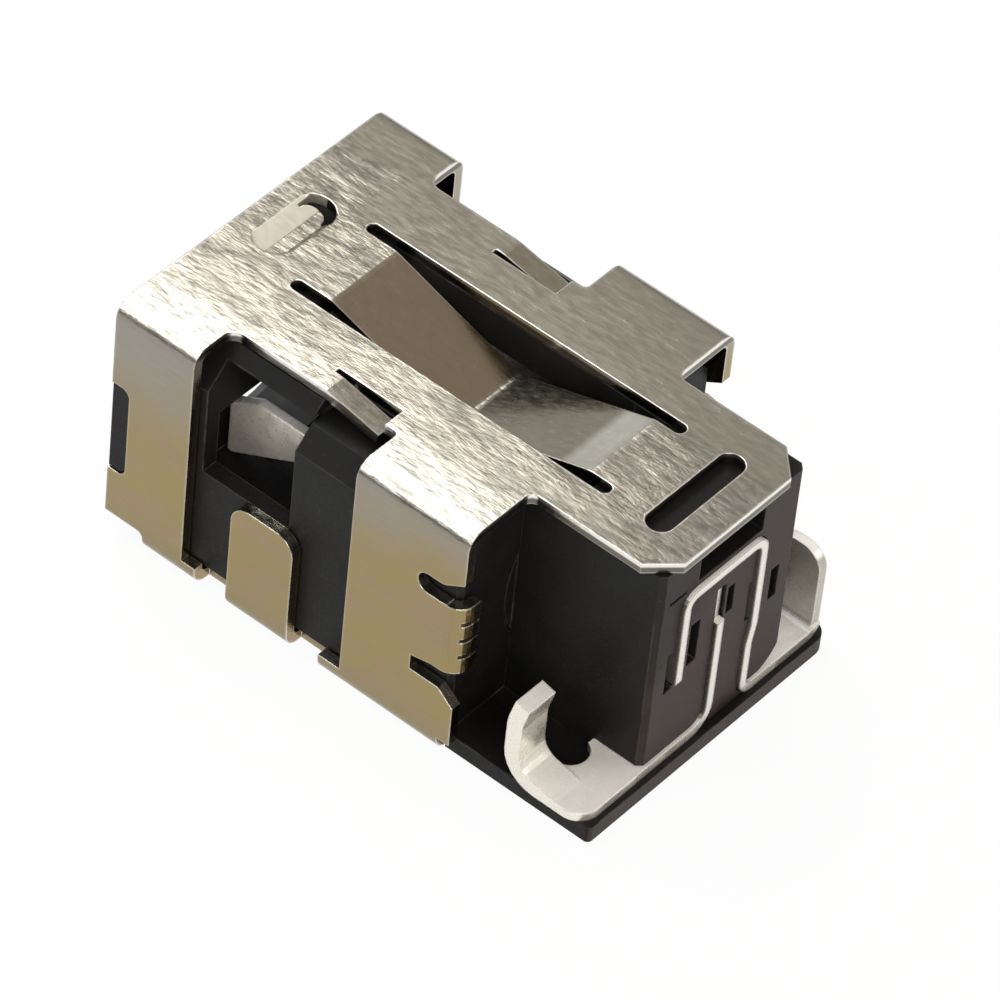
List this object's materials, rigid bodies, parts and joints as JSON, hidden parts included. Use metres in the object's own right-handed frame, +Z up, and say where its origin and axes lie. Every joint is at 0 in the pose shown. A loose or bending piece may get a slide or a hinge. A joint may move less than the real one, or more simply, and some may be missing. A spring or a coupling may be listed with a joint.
{
  "type": "dc barrel jack",
  "caption": "Low DC barrel jack: a folded metal shield with a leaf spring round a black housing, a centre pin in a round bore, and solder terminals at the rear.",
  "frame": {"origin": "centre of the outline in X and Y, at the height of the face the jack rests on", "axes": "+Y runs from the plug's mouth to the solder terminals, +X is the side with the solder finger, +Z is up"},
  "size_m": [0.008, 0.0124, 0.0062],
  "materials": {
    "shield_nickel": "brushed nickel plate",
    "housing_black": "satin moulded plastic",
    "block_black": "satin moulded plastic",
    "contact_tin": "tin plated spring alloy",
    "terminal_tin": "tin plated alloy",
    "pin_metal": "plated turned metal"
  },
  "bodies": {
    "root": {"shield": "shield_nickel", "housing": "housing_black", "rear_block": "block_black", "sleeve_contact": "contact_tin", "pin_terminal": "terminal_tin", "centre_pin": "pin_metal"}
  },
  "joints": []
}
